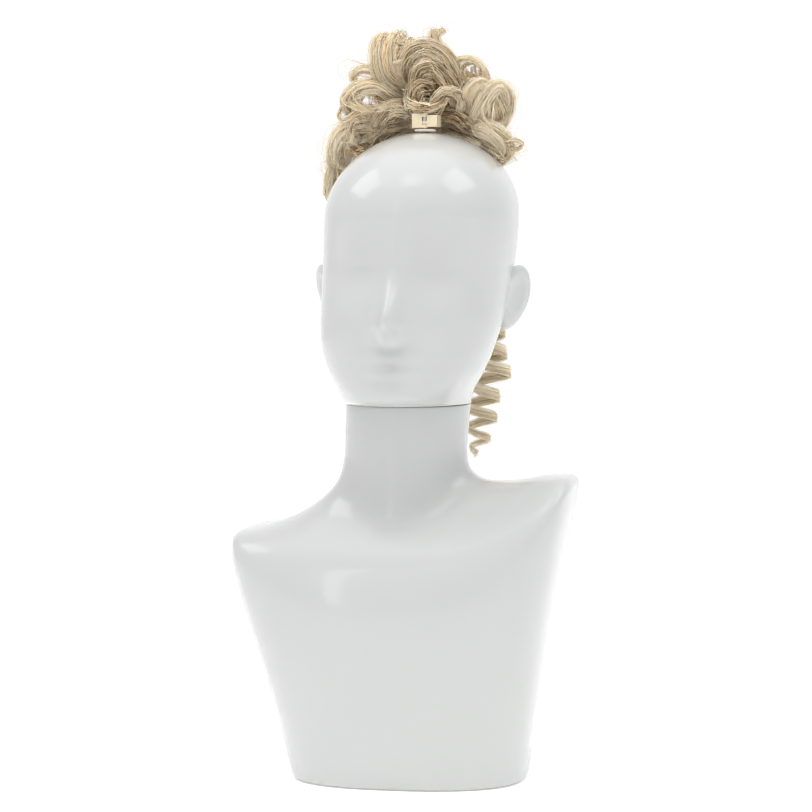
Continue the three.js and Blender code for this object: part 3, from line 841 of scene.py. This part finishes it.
class StageSettings(bpy.types.PropertyGroup):
    """Camera, lights and floor."""

    azimuth: FloatProperty(
        name="Camera Azimuth", description="Where the camera stands round the bust",
        default=math.radians(11.0), subtype="ANGLE",
    )
    distance: FloatProperty(name="Camera Distance", description="From the bust's axis", default=2.5,
        unit="LENGTH")
    height: FloatProperty(name="Camera Height", description="Above the table", default=0.45, unit="LENGTH")
    aim: FloatProperty(name="Aim Height", description="Height the camera looks at", default=0.292,
        unit="LENGTH")
    front: FloatProperty(name="Room Brightness", description="Of the room behind the camera", default=0.72,
        min=0.0)
    lens: FloatProperty(name="Lens", description="Focal length in millimetres", default=141.6, min=10.0)


# ---- operators ----
class OBJECT_OT_bust_stage(bpy.types.Operator):
    """Makes the camera, the lights, the floor and the backdrop"""

    bl_idname = "object.bust_stage"
    bl_label = "Stage"

    def execute(self, context):
        settings = context.scene.bust_stage
        scene = context.scene
        scene.view_settings.view_transform = "Standard"
        camera_data = bpy.data.cameras.new("view")
        camera = bpy.data.objects.new("view", camera_data)
        scene.collection.objects.link(camera)
        camera_data.lens = settings.lens
        camera_data.sensor_width = 36.0
        camera_data.clip_end = 50.0
        direction = Vector((math.sin(settings.azimuth), -math.cos(settings.azimuth), 0))
        camera.location = direction * settings.distance + Vector((0, 0, settings.height))
        aim = Vector((0, 0, settings.aim)) - camera.location
        camera.rotation_mode = "QUATERNION"
        camera.rotation_quaternion = aim.to_track_quat("-Z", "Y")
        scene.camera = camera

        floor_look = Look("pale_floor")
        speck = floor_look.noise(floor_look.place(), 40.0, 3.0)
        floor_look.principled(
            Base_Color=floor_look.mix(speck, (0.91, 0.91, 0.91), (0.94, 0.94, 0.94)),
            Roughness=0.7,
            Specular_IOR_Level=0.1,
            Emission_Color=(1.0, 1.0, 1.0),
            Emission_Strength=0.34,
        )
        bm = bmesh.new()
        bmesh.ops.create_circle(bm, cap_ends=True, segments=96, radius=6.0)
        mesh = bpy.data.meshes.new("floor")
        bm.to_mesh(mesh)
        bm.free()
        floor = bpy.data.objects.new("floor", mesh)
        floor.data.materials.append(floor_look.material)
        scene.collection.objects.link(floor)

        world = bpy.data.worlds.new("studio")
        world.use_nodes = True
        tree = world.node_tree
        tree.nodes["Background"].inputs["Color"].default_value = (1, 1, 1, 1)
        coords = tree.nodes.new("ShaderNodeTexCoord")
        split = tree.nodes.new("ShaderNodeSeparateXYZ")
        tree.links.new(coords.outputs["Generated"], split.inputs[0])
        facing = tree.nodes.new("ShaderNodeMapRange")
        tree.links.new(split.outputs["Y"], facing.inputs["Value"])
        facing.inputs["From Min"].default_value = 0.6
        facing.inputs["From Max"].default_value = 0.95
        facing.inputs["To Min"].default_value = settings.front
        facing.inputs["To Max"].default_value = 1.02
        tree.links.new(facing.outputs[0], tree.nodes["Background"].inputs["Strength"])
        scene.world = world

        for name, place, target, size, watts, spread in (
            ("softbox_left", (-1.85, 0.0, 2.15), (0, 0, 0.42), (1.5, 1.3), 9, 180),
            ("softbox_right", (1.82, 0.2, 2.25), (0, 0, 0.42), (1.5, 1.3), 9, 180),
            ("strip_front", (-0.75, -2.5, 1.1), (0, 0, 0.2), (0.16, 1.9), 2.0, 180),
            ("top_bank", (0.0, 0.1, 3.2), (0, 0, 0.3), (3.4, 3.4), 14, 180),
            ("front_bank", (0.05, -0.75, 2.3), (0.01, 0.0, 0.5), (0.7, 0.6), 1.6, 50),
        ):
            light_data = bpy.data.lights.new(name, "AREA")
            light_data.shape = "RECTANGLE"
            light_data.size, light_data.size_y = size
            light_data.energy = watts
            light_data.spread = math.radians(spread)
            light = bpy.data.objects.new(name, light_data)
            light.visible_glossy = name != "front_bank"
            light.location = place
            light.rotation_mode = "QUATERNION"
            light.rotation_quaternion = (Vector(target) - Vector(place)).to_track_quat("-Z", "Y")
            scene.collection.objects.link(light)
        return {"FINISHED"}


class OBJECT_OT_bust_looks(bpy.types.Operator):
    """Makes the materials and gives the fittings theirs"""

    bl_idname = "object.bust_looks"
    bl_label = "Materials"

    def execute(self, context):
        hair = context.scene.bust_hair
        shell_look(context.scene.bust_shell)
        hair_look("ash_blonde_fibre", [tuple(c) for c in (hair.dark, hair.brown, hair.blond, hair.light)])
        plastic_look("cream_clip_plastic", (0.95, 0.81, 0.57), 0.3)
        plastic_look("tack_putty", (0.7, 0.6, 0.54), 0.65, 500.0, 0.0004)
        plastic_look("natural_nylon", (0.82, 0.79, 0.72), 0.4)
        felt_look("charcoal_felt", (0.035, 0.036, 0.04))
        felt_look("covered_elastic", (0.5, 0.39, 0.25))
        wood_look("fibreboard")
        steel_look("zinc_plate")
        by_slot = {
            "board": "fibreboard", "steel": "zinc_plate", "nylon": "natural_nylon", "felt": "charcoal_felt",
            "putty": "tack_putty", "elastic": "covered_elastic", "clip_cream": "cream_clip_plastic",
            "hair": "ash_blonde_fibre", "shell_white": "white_gloss_lacquer",
        }
        for part in frame["record"]["subparts"]:
            node = NODES[part["node"]]
            node.data.materials.clear()
            node.data.materials.append(material(by_slot[part["material_slot"]]))
        return {"FINISHED"}


class OBJECT_OT_bust_torso(bpy.types.Operator):
    """Models the hollow torso and neck with their moulded wall"""

    bl_idname = "object.bust_torso"
    bl_label = "Torso"

    def execute(self, context):
        settings = context.scene.bust_shell
        inner = wall_of(bust_point, settings.wall / MM)
        top = len(BUST) - 1
        outer_share = 0.74
        bm = bmesh.new()
        bmesh.ops.create_grid(bm, x_segments=settings.sides, y_segments=230, size=0.5)
        for vert in bm.verts:
            turn = math.tau * (vert.co.x + 0.5)
            v = vert.co.y + 0.5
            if v <= outer_share:
                vert.co = bust_point(v / outer_share * top, turn) * MM
            else:
                f = (1 - v) / (1 - outer_share)
                point = inner(0.02 + f * (top - 0.04), turn)
                if v > 0.9999:
                    point = bust_point(0, turn)
                vert.co = point * MM
        bmesh.ops.remove_doubles(bm, verts=bm.verts, dist=1e-6)
        bmesh.ops.recalc_face_normals(bm, faces=bm.faces)
        finish_piece("bust_torso", bm, material("white_gloss_lacquer"), "bust", ["bust_shell"])
        return {"FINISHED"}


class OBJECT_OT_bust_head(bpy.types.Operator):
    """Models the hollow head with its face"""

    bl_idname = "object.bust_head"
    bl_label = "Head"

    def execute(self, context):
        settings = context.scene.bust_shell
        inner = wall_of(head_point, settings.wall / MM)
        last = len(HEAD) - 1
        outer_share, dome_share = 0.74, 0.24
        bm = bmesh.new()
        bmesh.ops.create_uvsphere(bm, u_segments=settings.sides + 48, v_segments=260, radius=1.0)
        for vert in bm.verts:
            around = math.atan2(vert.co.y, vert.co.x)
            turn = around - 0.35 * math.cos(around)
            v = math.acos(max(-1.0, min(1.0, vert.co.z))) / math.pi
            if v <= outer_share:
                f = v / outer_share
                t = last + 1 - f / dome_share if f < dome_share else last * (1 - f) / (1 - dome_share)
                vert.co = head_point(t, turn) * MM
            else:
                f = (v - outer_share) / (1 - outer_share)
                t = f * (last + 1)
                vert.co = inner(min(max(t, 0.03), last + 0.97), turn) * MM
        bmesh.ops.recalc_face_normals(bm, faces=bm.faces)
        finish_piece("head_form", bm, material("white_gloss_lacquer"), "head", ["head_shell"])
        return {"FINISHED"}


class OBJECT_OT_bust_ears(bpy.types.Operator):
    """Models the two flared ears with their scooped bowls and rolled rims"""

    bl_idname = "object.bust_ears"
    bl_label = "Ears"

    def execute(self, context):
        for side, name in ((1, "ear_left"), (-1, "ear_right")):
            bm = bmesh.new()
            bmesh.ops.create_uvsphere(bm, u_segments=72, v_segments=56, radius=1.0)
            bmesh.ops.rotate(bm, cent=(0, 0, 0), matrix=Matrix.Rotation(math.radians(90), 3, "X"),
                verts=bm.verts)
            place = ear_matrix(side)
            for vert in bm.verts:
                vert.co = (place @ ear_point(vert.co, side)) * MM
            bmesh.ops.recalc_face_normals(bm, faces=bm.faces)
            finish_piece(name, bm, material("white_gloss_lacquer"), "head")
        return {"FINISHED"}


class OBJECT_OT_bust_clip(bpy.types.Operator):
    """Rounds the edges of the clip's jaws"""

    bl_idname = "object.bust_clip"
    bl_label = "Clip"

    def execute(self, context):
        for node in ("jaw_left", "jaw_right"):
            bm = bmesh.new()
            bm.from_mesh(NODES[node].data)
            bmesh.ops.remove_doubles(bm, verts=bm.verts, dist=1e-6)
            bmesh.ops.dissolve_limit(bm, angle_limit=0.02, verts=bm.verts, edges=bm.edges)
            piece = finish_piece("clip_" + node, bm, material("cream_clip_plastic"), node,
                [node])
            bevel = piece.modifiers.new("edges", "BEVEL")
            bevel.width = 1.3 * MM
            bevel.segments = 3
            bevel.limit_method = "ANGLE"
            bevel.angle_limit = math.radians(40)
        return {"FINISHED"}


class OBJECT_OT_bust_hair(bpy.types.Operator):
    """Models the crown's locks as bundles of strands"""

    bl_idname = "object.bust_hair"
    bl_label = "Crown Curls"

    def execute(self, context):
        settings = context.scene.bust_hair
        for number, (node, locks) in enumerate(LOCKS.items()):
            draw = random.Random(100 + number)
            strands = []
            fat = []
            for lock in locks:
                share = dict(lock)
                count = share.pop("count")
                strands += ribbon_strands(draw, count=round(count * FINE_SHARE * settings.strands), **share)
                share["width"] *= 0.8
                share["thick"] *= 0.7
                # Painted shade: the thicker strands are darker, to stand for the shade between strands.
                shade = share.pop("shade", 0.0) - 0.25
                fat += ribbon_strands(draw, count=max(8, count // THICK_SHARE), loose=0.8, stray=0.0,
                    shade=shade, **share)
            fill = FILL.get(node, 5)
            # Painted shade: the filling curls are darker, and their thicker strands darker still.
            strands += wrap_curls(draw, node, fill, FILL_FINE, shade=-0.12)
            fat += wrap_curls(draw, node, fill, FILL_THICK, shade=-0.3, grow=0.8)
            finish_strands(node + "_strands", strands, settings.fibre / MM, node)
            finish_strands(node + "_locks", fat, THICK_RADIUS)
        return {"FINISHED"}


class OBJECT_OT_bust_tail(bpy.types.Operator):
    """Models the hanging curls behind the head"""

    bl_idname = "object.bust_tail"
    bl_label = "Hanging Curls"

    def execute(self, context):
        settings = context.scene.bust_hair
        tail = []
        tail_core = []
        draw = random.Random(7)
        rows = [(-34, 106, 262), (-20, 112, 252), (-6, 116, 250), (9, 115, 254), (24, 110, 262),
                (-27, 118, 300), (-11, 124, 285), (4, 125, 292), (19, 120, 305)]
        for k, (x, y, bottom) in enumerate(rows):
            drop = corkscrew(x, y, 478, bottom, 8.0, 6.5 + 0.5 * (k % 3), k * 1.7)
            points = [(12 + x * 0.5, 74, 520), (12 + x * 0.8, 92, 508)] + drop
            tail += ribbon_strands(draw, points, 10, 4, 46, wide=(0, 0, 1), step=3.9, loose=1.2)
            # Painted shade: the thicker core strands are darker.
            tail_core += ribbon_strands(draw, points, 7, 3, 14, wide=(0, 0, 1), step=3.9, loose=0.5,
                stray=0.0, shade=-0.15)
        combed = [(10, 76, 522), (10, 95, 508), (8, 107, 492), (5, 112, 472), (3, 113, 452)]
        tail += ribbon_strands(random.Random(8), combed, 62, 6, 190, wide=(1, 0, 0), loose=1.5, tip=0.9,
            shade=-0.05)
        finish_strands("hair_tail_strands", tail, settings.fibre / MM, "hair_tail")
        finish_strands("hair_tail_locks", tail_core, TAIL_THICK_RADIUS)
        points = [(36, 86, 502), (46, 98, 490), (53, 107, 468), (54, 110, 430), (53, 110, 390)]
        count = 7 * 10
        for k in range(count + 1):
            f = k / count
            x, y, z, radius = along(RINGLET, f * (len(RINGLET) - 1))
            angle = 0.9 + math.tau * 7 * f
            points.append((x + radius * math.cos(angle), y + radius * math.sin(angle), z))
        ringlet = ribbon_strands(draw, points, 9, 3, 120, wide=(0, 0, 1), step=2.6, loose=0.9, stray=0.05)
        # Painted shade: the thicker core strands are darker.
        core = ribbon_strands(draw, points, 7, 2, 26, wide=(0, 0, 1), step=2.6, loose=0.5, stray=0.0,
            shade=-0.15)
        finish_strands("ringlet_strands", ringlet, settings.fibre / MM, "ringlet")
        finish_strands("ringlet_locks", core, THICK_RADIUS)
        return {"FINISHED"}


class VIEW3D_PT_bust(bpy.types.Panel):
    """Lists the builders in the sidebar"""

    bl_idname = "VIEW3D_PT_bust"
    bl_label = "Display Bust"
    bl_space_type = "VIEW_3D"
    bl_region_type = "UI"
    bl_category = "Display Bust"

    def draw(self, context):
        for operator in OPERATORS:
            self.layout.operator(operator.bl_idname)


OPERATORS = (
    OBJECT_OT_bust_stage, OBJECT_OT_bust_looks, OBJECT_OT_bust_torso, OBJECT_OT_bust_head,
    OBJECT_OT_bust_ears, OBJECT_OT_bust_clip, OBJECT_OT_bust_hair, OBJECT_OT_bust_tail,
)
CLASSES = (BustSettings, HairSettings, StageSettings, *OPERATORS, VIEW3D_PT_bust)


def register():
    for cls in CLASSES:
        bpy.utils.register_class(cls)
    bpy.types.Scene.bust_shell = PointerProperty(type=BustSettings)
    bpy.types.Scene.bust_hair = PointerProperty(type=HairSettings)
    bpy.types.Scene.bust_stage = PointerProperty(type=StageSettings)


def unregister():
    del bpy.types.Scene.bust_shell
    del bpy.types.Scene.bust_hair
    del bpy.types.Scene.bust_stage
    for cls in reversed(CLASSES):
        bpy.utils.unregister_class(cls)


def main():
    register()
    bpy.ops.object.bust_stage()
    bpy.ops.object.bust_looks()
    bpy.ops.object.bust_torso()
    bpy.ops.object.bust_head()
    bpy.ops.object.bust_ears()
    bpy.ops.object.bust_clip()
    bpy.ops.object.bust_hair()
    bpy.ops.object.bust_tail()


if __name__ == "__main__":
    main()
